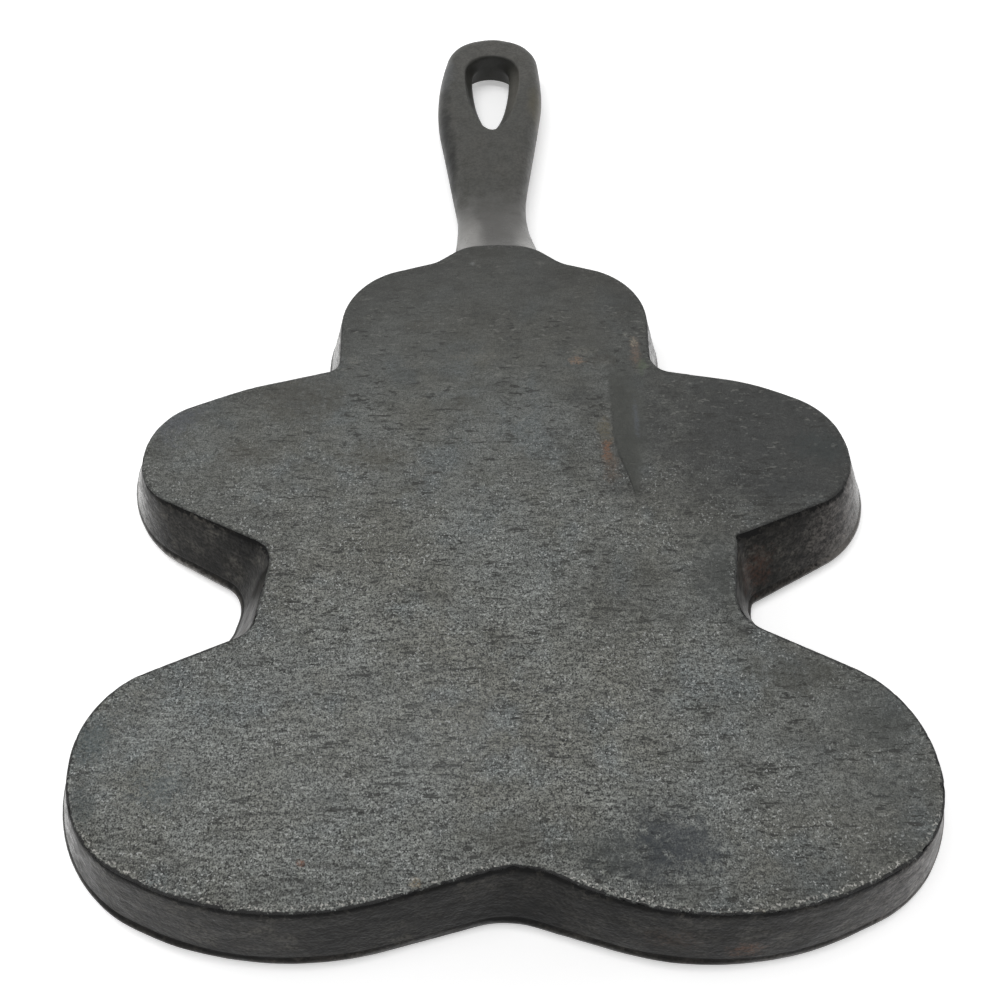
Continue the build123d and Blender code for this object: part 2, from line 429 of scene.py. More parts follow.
def pan_rings():
    """Rings from the edge of the back face down the wall, under the rim and up to the cavity's floor."""
    back = outline(BACK_RIGHT, BACK_LEFT, BACK_CROTCH, BACK_CREST)
    foot = outline(FOOT_RIGHT, FOOT_LEFT, FOOT_CROTCH, FOOT_CREST)
    counts = step_counts([back, foot])
    rings = []
    wall_span = BACK_Z - WALL_FOOT_Z

    def outer(z, outset):
        share = min(1.0, (BACK_Z - z) / wall_span)
        base = sampled(back * (1 - share) + foot * share, counts)
        rings.append(with_height(base + ring_normals(base) * outset, z))

    for a in quarter(EDGE_STEPS):
        outer(BACK_Z - EDGE_ROUND * (1 - cos(a)), EDGE_ROUND * (sin(a) - 1))
    for drop, outset in UNDERCUT:
        outer(BACK_Z - drop, outset)
    for low, high in ((SPLIT_Z, BACK_Z - STRAIGHT_DROP), (LIP_PROFILE[0][0] + LIP_CLEAR, SPLIT_Z)):
        steps = ceil((high - low) / WALL_STEP)
        for k in range(steps + (low != SPLIT_Z)):
            outer(high - (high - low) * k / steps, 0.0)
        if low == SPLIT_Z:
            split_outer = len(rings)
    mean, waves, size = LIP_WAVES
    lip_gain = mean + waves * field(rings[-1], size)
    lip_gain = np.clip(lip_gain + lip_marks(rings[-1]), *LIP_LIMITS)
    for z, outset in LIP_PROFILE:
        outer(z, 0.0)
        rings[-1][:, :2] += ring_normals(rings[-1][:, :2]) * (outset * lip_gain)[:, None]
    for a in quarter(RIM_STEPS):
        outer(RIM_ROUND * (1 - sin(a)), LIP_BOTTOM - RIM_ROUND * (1 - cos(a)))
    land_outer = rings[-1]

    def cavity(z, outset):
        return with_height(sampled(moved_out(back, outset), counts), z)

    inner = []
    for a in quarter(MOUTH_STEPS):
        inner.append(cavity(MOUTH_ROUND * (1 - cos(a)), MOUTH_OUTSET + MOUTH_ROUND * (1 - sin(a))))
    for k in range(1, LAND_STEPS):
        rings.append(land_outer + (inner[0] - land_outer) * k / LAND_STEPS)
    mouth_ring = len(rings)
    rings += inner

    def wall_outset(z):
        return MOUTH_OUTSET - z * tan(CAVITY_DRAFT)

    tangent = FLOOR_ROUND * tan((pi / 2 - CAVITY_DRAFT) / 2)
    fillet_z = CAVITY_DEPTH - tangent * cos(CAVITY_DRAFT)
    levels = np.concatenate([np.linspace(MOUTH_ROUND, SPLIT_Z, CAVITY_STEPS + 1)[1:], [fillet_z]])
    for z in levels:
        rings.append(cavity(z, wall_outset(z)))
        if z == SPLIT_Z:
            split_inner = len(rings) - 1
    centre_outset = wall_outset(CAVITY_DEPTH) - tangent
    for k in range(1, FLOOR_STEPS + 1):
        a = CAVITY_DRAFT + (pi / 2 - CAVITY_DRAFT) * k / FLOOR_STEPS
        z = CAVITY_DEPTH - FLOOR_ROUND * (1 - sin(a))
        rings.append(cavity(z, centre_outset + FLOOR_ROUND * cos(a)))
    return rings, split_outer, mouth_ring, split_inner


def lip_marks(points):
    """How much more the step at the parting line stands out at the feet."""
    x, y = points[:, 0], points[:, 1]
    return sum(
        gain * np.exp(-((x - centre[0]) / half[0]) ** 2 - ((y - centre[1]) / half[1]) ** 2)
        for centre, half, gain in LIP_MARKS
    )


def make_pan(back_look, wall_look, cavity_look):
    """The floor and the wall of the pan, from one skin that is split at SPLIT_Z."""
    rings, split_outer, mouth_ring, split_inner = pan_rings()
    count = len(rings[0])
    ring_points = np.concatenate(rings)
    back_points, back_faces = filled(rings[0][:, :2], [], BACK_SPACING)
    floor_points, floor_faces = filled(rings[-1][:, :2], [], CAVITY_SPACING)
    back_new = with_height(back_points[count:], BACK_Z)
    floor_new = with_height(floor_points[count:], CAVITY_DEPTH)
    points = np.concatenate([ring_points, back_new, floor_new])
    back_start = len(ring_points)
    floor_start = back_start + len(back_new)
    back_skin = np.where(back_faces < count, back_faces, back_faces - count + back_start)
    last_ring = (len(rings) - 1) * count
    floor_skin = np.where(floor_faces < count, floor_faces + last_ring, floor_faces - count + floor_start)
    floor_skin = floor_skin[:, ::-1]
    bands = strips(0, count, len(rings))
    normals = vertex_normals(points, bands + [back_skin, floor_skin])

    edge_mm = np.full(len(points), FAR_FROM_EDGE)
    for k in range(split_outer):
        edge_mm[k * count:(k + 1) * count] = rings[k][0, 2] - BACK_Z
    edge_mm[:count] = EDGE_ROUND
    edge_mm[back_start:floor_start] = distance_to(back_new, rings[EDGE_STEPS // 2])

    points = cast_surface(points, normals, edge_mm)
    normals = vertex_normals(points, bands + [back_skin, floor_skin])
    attributes = {"edge_mm": edge_mm}
    cap = strip(split_outer * count, split_inner * count, count)
    floor_parts = {
        back_look: bands[:EDGE_STEPS] + [back_skin],
        wall_look: bands[EDGE_STEPS:split_outer],
        cavity_look: bands[split_inner:] + [floor_skin],
    }
    wall_parts = {wall_look: bands[split_outer:mouth_ring], cavity_look: bands[mouth_ring:split_inner]}
    floor = make_piece("pan_floor", points, floor_parts, [cap], normals, attributes)
    wall = make_piece("pan_wall", points, wall_parts, [cap[:, ::-1]], normals, attributes)
    return floor, wall


def cast_surface(points, normals, edge_mm):
    """Unevenness of the casting. The back sinks below its height, and the rim rises off its plane."""
    on_back = eased(edge_mm, 0.0, 0.8)
    near_edge = np.exp(-(edge_mm / NICK_REACH) ** 2)
    nicks = np.maximum(0, field(points, *NICK_NOISE) - NICK_LEVEL)
    inward = unevenness(points, PAN_UNEVEN) * (1 - BACK_SMOOTHER * on_back) + NICK_DEPTH * near_edge * nicks
    inward += on_back * back_dents(points)
    moved = points - normals * inward[:, None]
    moved[:, 2] = np.clip(moved[:, 2], 0.0, BACK_Z)
    return moved


def back_dents(points):
    """Depth of the worn groove under the right shoulder, which narrows to a point towards the feet."""
    x, y = points[:, 0], points[:, 1]
    along = eased(y, *GROOVE_STARTS) * (1 - eased(y, *GROOVE_ENDS))
    width = GROOVE_WIDTHS[0] + GROOVE_WIDTHS[1] * eased(y, *GROOVE_WIDENS)
    middle = GROOVE_TIP[0] + GROOVE_DRIFT * (y - GROOVE_WIDENS[0])
    return GROOVE_DEPTH * along * np.exp(-((x - middle) / width) ** 2)


# Handle

def handle_top(points):
    """Height of the upper face: flat along the handle and curved up towards the head."""
    run = np.maximum(0, FAIRING_END_Y - points[:, 1])
    return HANDLE_TOP_Z + FAIRING_RADIUS - np.sqrt(FAIRING_RADIUS ** 2 - run ** 2)


def teardrop(hole, outset):
    """Anticlockwise ring: a half circle, and a long half oval that is drawn to a point."""
    x, round_y, radius, point_y, pointedness = hole
    radius += outset
    reach = round_y - point_y + outset
    round_steps, point_steps = HOLE_STEPS
    points = []
    for k in range(round_steps):
        a = pi * k / round_steps
        points.append((x + radius * cos(a), round_y + radius * sin(a)))
    for k in range(point_steps):
        a = pi * k / point_steps
        side = -1.0 if k < point_steps / 2 else 1.0
        width = radius * abs(cos(a)) ** pointedness
        points.append((x + side * width, round_y - reach * sin(a)))
    return np.array(points)


def on_fillet(points, height):
    """Heights of the upper face, blended with the fillet at the wall of the head."""
    recess = SHOULDER_SLOPE * np.maximum(0, np.abs(points[:, 0]) - SHOULDER_HALF)
    run = np.clip(FILLET_END_Y - recess - points[:, 1], 0, FILLET_RUN)
    fillet = FILLET_Z + FILLET_RADIUS - np.sqrt(FILLET_RADIUS ** 2 - run ** 2)
    overlap = np.clip(1 - np.abs(height - fillet) / (2 * FILLET_BLEND), 0, 1)
    return np.maximum(height, fillet) + 0.5 * FILLET_BLEND * overlap ** 2 * (run > 0)


def handle_rings():
    """Rings round the handle from its upper face down to its lower face."""
    corners = outline(HANDLE_RIGHT, HANDLE_LEFT, HANDLE_ROOT, HANDLE_TIP)
    counts = step_counts([corners])
    base = sampled(corners, counts)
    normals = ring_normals(base)
    leftness = eased(-base[:, 0], *TOP_ROLL_LEFT_X) * (1 - eased(base[:, 1], *TOP_ROLL_LEFT_Y))
    out_of_wall = base[:, 1] - HANDLE_ROOT[1] + ROOT_SLOPE * np.abs(base[:, 0] - HANDLE_ROOT[0])
    room = ROOT_ROOM * np.maximum(out_of_wall - ROOT_CLEAR, 0)
    normals[:, 1] *= eased(out_of_wall, *ROOT_TURN)
    top_roll = TOP_ROLL_RIGHT + (TOP_ROLL_LEFT - TOP_ROLL_RIGHT) * leftness
    top_roll += (TOP_ROLL_ROOT - top_roll) * (1 - eased(base[:, 1], *TOP_ROLL_ROOT_Y))
    top = handle_top(base)
    low = HANDLE_MID_Z + SIDE_FLAT
    high = HANDLE_MID_Z - SIDE_FLAT
    rings = []
    for a in quarter(ROLL_STEPS)[::-1]:
        inset = np.minimum(SIDE_INSET + top_roll * (1 - cos(a)), room)
        ring = base - normals * inset[:, None]
        rings.append(with_height(ring, on_fillet(ring, low + (top - low) * sin(a))))
    rings.append(with_height(base, HANDLE_MID_Z))
    for a in quarter(ROLL_STEPS):
        inset = np.minimum(SIDE_INSET + BOTTOM_ROLL * (1 - cos(a)), room)
        rings.append(with_height(base - normals * inset[:, None], high + (HANDLE_BOTTOM_Z - high) * sin(a)))
    return rings


def hole_rings():
    """Rings of the hanging hole from its upper lip through the throat to its lower lip."""
    lip = [(HOLE_LIP * (1 - sin(a)), HOLE_LIP * (1 - cos(a))) for a in quarter(HOLE_LIP_STEPS)]
    upper = [with_height(teardrop(HOLE_UPPER, out), HANDLE_TOP_Z - drop) for out, drop in lip]
    lower = [with_height(teardrop(HOLE_LOWER, out), HANDLE_BOTTOM_Z + rise) for out, rise in lip[::-1]]
    throat = with_height(teardrop(HOLE_THROAT, 0.0), HANDLE_MID_Z)
    above = []
    below = []
    for k in range(1, HOLE_WALL_STEPS):
        share = k / HOLE_WALL_STEPS
        bulge = share * share * (3 - 2 * share)
        above.append(upper[-1] + (throat - upper[-1]) * np.array([bulge, bulge, share]))
        below.append(throat + (lower[0] - throat) * np.array([share, share, share]))
    return upper + above + [throat] + below + lower


def make_handle(material):
    """The handle: rings round it and through its hole, joined by an upper and a lower face."""
    outer = handle_rings()
    hole = hole_rings()
    outer_count = len(outer[0])
    hole_count = len(hole[0])
    hole_start = outer_count * len(outer)
    ring_points = np.concatenate(outer + hole)
    pieces = [ring_points]
    skin = strips(0, outer_count, len(outer)) + strips(hole_start, hole_count, len(hole), flip=True)
    start = len(ring_points)
    for level, is_top in ((0, True), (-1, False)):
        outer_first = 0 if is_top else outer_count * (len(outer) - 1)
        hole_first = hole_start + (0 if is_top else hole_count * (len(hole) - 1))
        flat, faces = filled(outer[level][:, :2], [hole[level][:, :2]], HANDLE_SPACING)
        new = flat[outer_count + hole_count:]
        z = on_fillet(new, handle_top(new)) if is_top else np.full(len(new), HANDLE_BOTTOM_Z)
        pieces.append(with_height(new, z))
        number = np.concatenate([
            outer_first + np.arange(outer_count),
            hole_first + np.arange(hole_count),
            start + np.arange(len(new)),
        ])
        faces = number[faces]
        skin.append(faces if is_top else faces[:, ::-1])
        start += len(new)
    points = np.concatenate(pieces)
    near_root = 1 - eased(points[:, 1], ROOT_LEAN_Y, ROOT_LEAN_Y + ROOT_LEAN_LENGTH)
    points[:, 1] -= (points[:, 2] - HANDLE_MID_Z) * ROOT_LEAN * near_root
    normals = vertex_normals(points, skin)
    points = points - normals * unevenness(points, HANDLE_UNEVEN)[:, None]
    normals = vertex_normals(points, skin)
    # The rings deep in the hole, whose colour is painted shade
    in_hole = np.zeros(len(points))
    dark_rings = len(hole) - 2 * HOLE_LIT_RINGS
    dark_start = hole_start + HOLE_LIT_RINGS * hole_count
    in_hole[dark_start:dark_start + dark_rings * hole_count] = 1.0
    return make_piece("handle", points, {material: skin}, [], normals, {"in_hole": in_hole})


# Materials

# Colours are red, green and blue in thousandths.
# Those of the back, its shaded parts, its dashes and specks, and its edge
BACK_GREY = (112, 118, 112)
BACK_WARM = (96, 97, 86)
BACK_BLUE = (92, 105, 108)
BACK_MOTTLE = (66, 67, 57)
HEAD_SHADE = (36, 36, 32)
RIGHT_SHADE = (55, 57, 54)
ARM_SHADE = (24, 25, 24)
GROOVE_SHADE = (31, 33, 28)
DARK_DASH = (18, 18, 16)
PALE_DASH = (200, 200, 185)
BACK_PIT = (14, 14, 13)
BACK_GLINT = (460, 470, 460)
BACK_FLECK = (150, 150, 135)
EDGE_CHIP = (4, 4, 4)
EDGE_WORN_AND_HIGHLIGHT = (420, 410, 385)

# Those of the wall, the cavity, the handle and its hole, and of the stage
WALL_BLACK = (9.5, 9, 8)
WALL_BROWN = (19, 17.8, 15.5)
WALL_MOTTLE = (30, 28.2, 24.5)
WALL_PAINTED_REFLECTION = (120, 110, 104)
RIM_PAINTED_LIGHT = (66, 58, 51)
WALL_PIT = (4, 4, 4)
PARTING_SHADE = (3, 3, 3)
UNDER_EDGE_SHADOW = (2, 2, 2)
CAVITY_BLACK = (22, 21, 20)
CAVITY_BROWN = (40, 37, 33)
HANDLE_GREY = (64, 62, 56)
HANDLE_DARK = (52, 52, 47)
HANDLE_MOTTLE = (34, 33, 27)
HOLE_SHADE = (24, 24, 21)
HOLE_BOUNCE_LIGHT = (85, 82, 72)
WHITE = (1000, 1000, 1000)

# Where a change of the surface starts and where it is complete, and the height of the parting line
HEAD_SHADE_Y = (76, 122)
RIGHT_SHADE_X = (8, 60)
FEET_PAINTED_LIGHT_Y = (82, 46)
EDGE_SHADE_MM = (9, 1)
SMOOTH_X = (10, 62)
SMOOTH_Y = (30, 122)
DASHES_X = (-60, -25)
DASHES_Y = (108, 120)
CHIPPED_Y = (70, 20)
WORN_AND_HIGHLIGHT_Y = (26, 6)
WALL_LIGHT_Y = (35, 60)
WALL_REFLECTION_X = (48, 67)
RIM_LIGHT_Z = (3.5, 2.4)
LEFT_FOOT_X = (-22, -36)
PARTING_LINE_Z = 3.3

# Size of the sand grain in millimetres, and strength of the reflections
BACK_GRAIN = 0.25
WALL_GRAIN = 0.5
CAVITY_GRAIN = 0.7
HANDLE_GRAIN = 0.5
BACK_SPECULAR = 0.35
WALL_SPECULAR = 0.11
CAVITY_SPECULAR = 0.4
HANDLE_SPECULAR = 0.28

# How far along Y the flakes' slopes are measured, for their painted light and shade
FLAKE_STEP = 0.22

# The shaded right arm: centre and half sizes
ARM_SHADE_PLACE = ((50.0, 82.0, 14.5), (48.0, 32.0, 30.0))

# Marks: centre and half sizes, colour, strength, and how solid it is between its grains. Those of the
# back are all at one height.
BACK_MARKS_Z = 14.5
BACK_MARKS_HALF_Z = 4.0
BACK_MARKS = [
    ((19, 83), (1.8, 4), (105, 88, 50), 0.6, 0.4),
    ((19, 78.5), (1.2, 3), (210, 85, 35), 0.8, 0.3),
    ((19.6, 75.5), (2, 5.5), (85, 55, 35), 0.6, 0.45),
    ((14.6, 99), (1.9, 1.5), (210, 145, 100), 0.75, 0.2),
    ((19.5, 99.5), (3.4, 2), (30, 26, 20), 0.6, 0.5),
    ((16, 101.6), (3.4, 1.3), (170, 165, 140), 0.5, 0.1),
    ((25.9, 101.2), (1.4, 4.6), (130, 92, 70), 0.7, 0.4),
    ((25.6, 103.6), (1.2, 1.6), (250, 220, 170), 0.6, 0.2),
    ((27, 98), (1.5, 2.2), (75, 95, 60), 0.65, 0.6),
    ((24.9, 86), (0.7, 5.5), (85, 95, 115), 0.5, 0.5),
    ((24.2, 105.6), (0.9, 1), (200, 200, 180), 0.6, 0.3),
    ((-62, 25.8), (3.8, 5), (36, 56, 60), 0.6, 0.6),
    ((-62, 15.8), (3.4, 4.5), (36, 47, 50), 0.55, 0.6),
    ((-50.5, 18), (5, 4.5), (95, 118, 125), 0.5, 0.5),
    ((-18, 26), (46, 24), (210, 220, 218), 0.16, 0.5),
    ((-58, 27), (12, 14), (190, 210, 215), 0.16, 0.5),
    ((21, 50.5), (18, 13), (40, 41, 37), 0.55, 0.5),
    ((17, 105), (8, 6), (50, 50, 45), 0.35, 0.7),
    ((21.5, 13.5), (7, 5), (40, 42, 40), 0.5, 0.6),
    ((46.5, 24), (6, 4), (45, 48, 46), 0.4, 0.6),
    ((-7, 26), (13, 9), (210, 220, 218), 0.12, 0.5),
    ((1.5, 11.5), (10, 4.5), (50, 48, 38), 0.5, 0.5),
    ((21, 7), (10, 5), (20, 23, 26), 0.7, 0.7),
    ((16, 9), (10, 5), (30, 34, 32), 0.7, 0.65),
    ((25, 10.2), (9, 6.5), (22, 27, 33), 0.8, 0.75),
    ((27.5, 3), (7, 2.5), (50, 52, 48), 0.6, 0.6),
    ((57, 28), (10, 7), (33, 36, 33), 0.7, 0.7),
    ((45.5, 35.5), (9, 4.5), (34, 34, 27), 0.75, 0.7),
    ((36, 53.5), (6.5, 9), (32, 35, 33), 0.75, 0.7),
    ((-36.5, 90), (9, 7), (36, 33, 25), 0.65, 0.55),
    ((-45, 78), (7, 4), (45, 39, 28), 0.5, 0.5),
    ((-22, 77.5), (8, 4), (47, 41, 28), 0.5, 0.5),
    ((-7, 89.5), (4.5, 2.6), (42, 40, 30), 0.55, 0.45),
    ((-59, 86), (6, 7), (75, 83, 105), 0.4, 0.7),
    ((57.5, 79), (7, 5), (26, 34, 34), 0.5, 0.7),
    ((49.5, 71), (7, 3.5), (20, 22, 22), 0.6, 0.7),
    ((57, 17.4), (5.5, 5.5), (40, 46, 46), 0.45, 0.5),
    ((35.5, 0.2), (1.5, 1.1), (270, 240, 170), 0.6, 0.2),
    ((31.5, -0.1), (2.2, 0.9), (180, 160, 110), 0.45, 0.2),
    ((-12.5, 4.6), (1.3, 1.2), (220, 170, 100), 0.55, 0.15),
    ((-28.9, 7.5), (0.8, 0.7), (200, 85, 50), 0.75, 0.4),
    ((-25.5, 7.3), (4, 0.6), (35, 33, 30), 0.6, 0.5),
    ((-1.4, 127.2), (4.2, 1.8), (26, 26, 22), 0.75, 0.7),
    ((-5.2, 124.4), (0.9, 0.8), (150, 155, 150), 0.7, 0.6),
    ((8.4, 124.4), (1.3, 0.6), (120, 120, 110), 0.5, 0.5),
    ((-27.5, 99.3), (1.8, 1.6), (180, 180, 160), 0.5, 0.1),
    ((-4.5, 100), (6, 3), (130, 125, 105), 0.45, 0.05),
    ((-14.6, 108), (5, 2.6), (45, 40, 30), 0.4, 0.1),
    ((-11.7, 49.9), (5, 1.2), (30, 30, 26), 0.7, 0.4),
]
WALL_MARKS = [
    ((44, 60, 7), (5, 8, 5), (75, 34, 22), 0.6, 0.35),
    ((47, 62.5, 5), (3, 4, 2), (110, 50, 30), 0.6, 0.1),
    ((35, -4, 5.8), (3.6, 5, 2.4), (105, 52, 30), 0.8, 0.3),
    ((24, -3, 8), (6, 5, 3), (50, 32, 22), 0.5, 0.2),
    # Painted reflections: pale patches on the steep walls beside the head, at the ends of the arms and on
    # the left leg; painted light on the lips under the arms
    ((-32.5, 106, 7), (7, 13, 14), (130, 128, 122), 0.8, 0.9),
    ((32, 104, 7), (7, 11, 14), (140, 138, 132), 0.8, 0.9),
    ((-68.5, 76, 6), (8, 11, 14), (120, 118, 110), 0.8, 0.9),
    ((-58, 62, 0.4), (15, 11, 3), (400, 385, 360), 0.85, 0.9),
    ((69, 75, 7), (9, 13, 14), (120, 114, 105), 0.8, 0.9),
    ((63, 65, 1.2), (10, 9, 4.5), (160, 150, 140), 0.8, 0.9),
    ((-70.5, 15, 7), (8, 19, 16), (100, 98, 95), 0.8, 0.9),
    # Painted shade at the bottom of the crotch, and darker patches low on both feet
    ((0.8, 4, 3), (12, 8, 8), (2, 2, 2), 0.95, 0.9),
    ((0, 1, 1), (30, 14, 4), (3, 3, 3), 0.85, 0.8),
    ((-42, -4, 2.4), (17, 8, 3.4), (3, 3, 3), 0.75, 0.7),
    ((24, -5, 1.8), (17, 8, 3), (4, 4, 3.5), 0.7, 0.7),
    # A red-brown spot high on the left foot
    ((-31.2, -3, 13.2), (2.2, 3, 1.2), (60, 12, 11), 0.6, 0.6),
]
# Oilier, glossier patches of the wall: centre and half sizes
WALL_POLISH = [
    ((-32.5, 106, 7), (8, 15, 14)),
    ((32, 104, 7), (8, 13, 14)),
    ((-69, 72, 6), (12, 16, 14)),
    ((69, 72, 6), (12, 16, 14)),
    ((-72, 15, 7), (10, 24, 16)),
]
HANDLE_MARKS = [
    # Painted shade down the handle's left side, which faces away from the light
    ((-12.4, 169, 9), (2.5, 25, 30), (5, 5, 4), 1, 1),
    ((-10.6, 158.5, 9), (2.3, 21, 30), (5, 5, 4), 1, 1),
    ((9.3, 181, 9), (3, 9, 30), (75, 66, 40), 0.6, 0.8),
    ((-12.5, 193, 9), (3.4, 9, 30), (75, 80, 88), 0.5, 0.8),
]
# Painted highlight: paler colour on the fillet at both sides of the handle's root, for the reflection of
# the bright stage there: centre, half sizes and colour
FILLET_HIGHLIGHT = [
    ((0, 134, 10), (13, 22, 30), (100, 98, 93)),
    ((-7.6, 134.5, 10), (6.6, 20, 30), (140, 138, 132)),
    ((7.2, 134.5, 10), (7.4, 22, 30), (150, 148, 142)),
    ((-6.2, 135, 10), (4.2, 10, 30), (240, 236, 226)),
    ((6.6, 134.5, 10), (4, 9, 30), (260, 256, 246)),
]
# The rubbed, glossier fillet at the handle's root: centre and half sizes
FILLET_POLISH = ((0, 132, 10), (20, 20, 30))
# Painted light on the right wall of the hole, from the floor below: centre and half sizes
HOLE_LIGHT_PLACE = ((5.5, 185, 6), (5, 16, 30))


class Nodes:
    """Short calls for building the node tree of a material or a world."""

    def __init__(self, owner):
        owner.use_nodes = True
        self.owner = owner
        self.tree = owner.node_tree
        self.tree.nodes.clear()

    def add(self, kind, inputs=(), **settings):
        node = self.tree.nodes.new(kind)
        for key, value in settings.items():
            setattr(node, key, value)
        for key, value in dict(inputs).items():
            self.put(node.inputs[key], value)
        return node

    def put(self, socket, value):
        """Link a socket or set its constant. A colour comes in thousandths, without its alpha."""
        if isinstance(value, bpy.types.NodeSocket):
            self.tree.links.new(value, socket)
        elif socket.type == "RGBA":
            socket.default_value = (*(level / 1000 for level in value), 1.0)
        else:
            socket.default_value = value

    def attribute(self, name):
        return self.add("ShaderNodeAttribute", attribute_name=name).outputs["Fac"]

    def math(self, operation, a, b=0.0, clamp=False):
        node = self.add("ShaderNodeMath", {0: a, 1: b}, operation=operation, use_clamp=clamp)
        return node.outputs[0]

    def times(self, a, *factors):
        for b in factors:
            a = self.math("MULTIPLY", a, b)
        return a

    def plus(self, a, b):
        return self.math("ADD", a, b)

    def minus(self, a, b):
        return self.math("SUBTRACT", a, b)

    def summed(self, *parts):
        """Sum of values, each times its weight."""
        total = self.times(*parts[0])
        for value, weight in parts[1:]:
            total = self.plus(total, self.times(value, weight))
        return total

    def vector(self, operation, a, b=(0.0, 0.0, 0.0)):
        return self.add("ShaderNodeVectorMath", {0: a, 1: b}, operation=operation).outputs

    def ramp(self, value, low, high, to_low=0.0, to_high=1.0):
        """Smooth step of a value from one range to another."""
        inputs = {"Value": value, "From Min": low, "From Max": high, "To Min": to_low, "To Max": to_high}
        node = self.add("ShaderNodeMapRange", inputs, interpolation_type="SMOOTHSTEP")
        return node.outputs["Result"]

    def mix(self, factor, a, b, blend="MIX"):
        inputs = {0: factor, 6: a, 7: b}
        return self.add("ShaderNodeMix", inputs, data_type="RGBA", blend_type=blend).outputs[2]


class Iron(Nodes):
    """Nodes of an iron surface, with its place in layout millimetres and the colour so far."""

    def __init__(self, name):
        super().__init__(bpy.data.materials.new(name))
        shift = (0.0, -LAYOUT_TO_FRAME, 0.0)
        place = self.add("ShaderNodeTexCoord").outputs["Object"]
        self.position = self.mapped(place, Scale=(1 / MM,) * 3, Location=shift)
        self.x, self.y, self.z = self.add("ShaderNodeSeparateXYZ", {0: self.position}).outputs
        self.color = None

    def mapped(self, vector, **inputs):
        return self.add("ShaderNodeMapping", {"Vector": vector, **inputs}).outputs["Vector"]

    def noise(self, size, detail=2.0, roughness=0.6, stretch=None, shift=None):
        """Noise of a size in millimetres, drawn out along an axis or moved where that is given."""
        place = self.position
        if shift:
            place = self.vector("ADD", place, shift)[0]
        if stretch:
            place = self.mapped(place, Scale=stretch)
        inputs = {"Vector": place, "Scale": 1.0 / size, "Detail": detail, "Roughness": roughness}
        return self.add("ShaderNodeTexNoise", inputs).outputs["Fac"]

    def tint(self, factor, tone):
        self.color = self.mix(factor, self.color, tone)

    def dim(self, gain):
        self.color = self.mix(1.0, self.color, gain, "MULTIPLY")

    def ragged(self, size=1.3, amount=2.2):
        """Noise about zero that makes the outline of a patch uneven."""
        return self.times(self.minus(self.noise(size, 4.0, 0.7), 0.5), amount)

    def grain(self, size):
        """Sand grain: fine noise over noise twice as coarse."""
        return self.summed((self.noise(size, 1.0), 0.6), (self.noise(size * 2.2, 2.0), 0.4))

    def spot(self, wobble, centre, reach):
        """1 in the middle of a soft, ragged patch of the given half sizes, and 0 outside it."""
        unit = self.vector("DIVIDE", self.vector("SUBTRACT", self.position, centre)[0], reach)[0]
        return self.ramp(self.plus(self.vector("LENGTH", unit)["Value"], wobble), 1.0, 0.2)

    def mark(self, wobble, speckle, marks):
        """Ragged patches over the colour, broken up by grains of the speckle."""
        for centre, reach, tone, strength, solid in marks:
            grains = self.ramp(speckle, 0.44, 0.58, solid, 1.0)
            self.tint(self.times(self.spot(wobble, centre, reach), strength, grains), tone)

    def polished(self, wobble, roughness, places, amount):
        """Roughness that is lower by an amount in soft patches."""
        for place in places:
            roughness = self.minus(roughness, self.times(self.spot(wobble, *place), amount))
        return roughness

    def finished(self, roughness, height, specular):
        """Principled surface with the colour so far, and its height in millimetres."""
        bump = self.add("ShaderNodeBump", {"Height": height, "Distance": MM, "Strength": 1.0})
        inputs = {"Base Color": self.color, "Roughness": roughness, "Normal": bump.outputs[0]}
        shader = self.add("ShaderNodeBsdfPrincipled", {**inputs, "Specular IOR Level": specular})
        self.add("ShaderNodeOutputMaterial", {"Surface": shader.outputs[0]})
        return self.owner


def groove_mask(n, wobble):
    """The worn groove: clear on its left, soft on its right and pointed at its near end."""
    tip_x, tip_y = GROOVE_TIP
    half = n.ramp(n.y, tip_y, tip_y + GROOVE_TAPER, *GROOVE_HALVES)
    across = n.math("DIVIDE", n.minus(n.x, tip_x + GROOVE_HALVES[0]), half)
    across = n.plus(across, n.times(wobble, 0.22))
    near = n.ramp(n.y, tip_y, tip_y + GROOVE_TIP_FADE)
    far = n.ramp(n.plus(n.y, n.times(wobble, 2.5)), *GROOVE_SHADE_END)
    sides = n.times(n.ramp(across, -1.25, -0.85), n.ramp(across, 1.5, -0.3))
    return n.times(sides, n.times(near, far))


def dash_mask(n, stretch, size, low, high):
    """Short dashes along X."""
    return n.ramp(n.noise(size, 2.0, 0.55, (stretch, 1.0, 1.0)), low, high)


def back_tones(n, edge, mottle):
    """Broad greys of the back, darker at the head, on the right and at its edge, and painted light towards
    the feet.
    """
    n.color = n.mix(n.ramp(n.noise(22, 3), 0.35, 0.68), BACK_GREY, BACK_WARM)
    n.tint(n.ramp(n.noise(9, 3), 0.5, 0.7, 0, 0.6), BACK_BLUE)
    n.tint(n.ramp(mottle, 0.5, 0.7, 0, 0.45), BACK_MOTTLE)
    n.tint(n.ramp(n.y, *HEAD_SHADE_Y, 0, 0.75), HEAD_SHADE)
    n.tint(n.ramp(n.x, *RIGHT_SHADE_X, 0, 0.3), RIGHT_SHADE)
    # Painted light: the back grows lighter towards the feet, standing in for the overhead lamp's reflection
    n.dim(n.ramp(n.y, *FEET_PAINTED_LIGHT_Y, 0.94, 1.2))
    n.dim(n.ramp(edge, *EDGE_SHADE_MM, 1, 0.8))
    arm = n.spot(n.ragged(6, 1), *ARM_SHADE_PLACE)
    n.tint(n.times(arm, 0.9), ARM_SHADE)


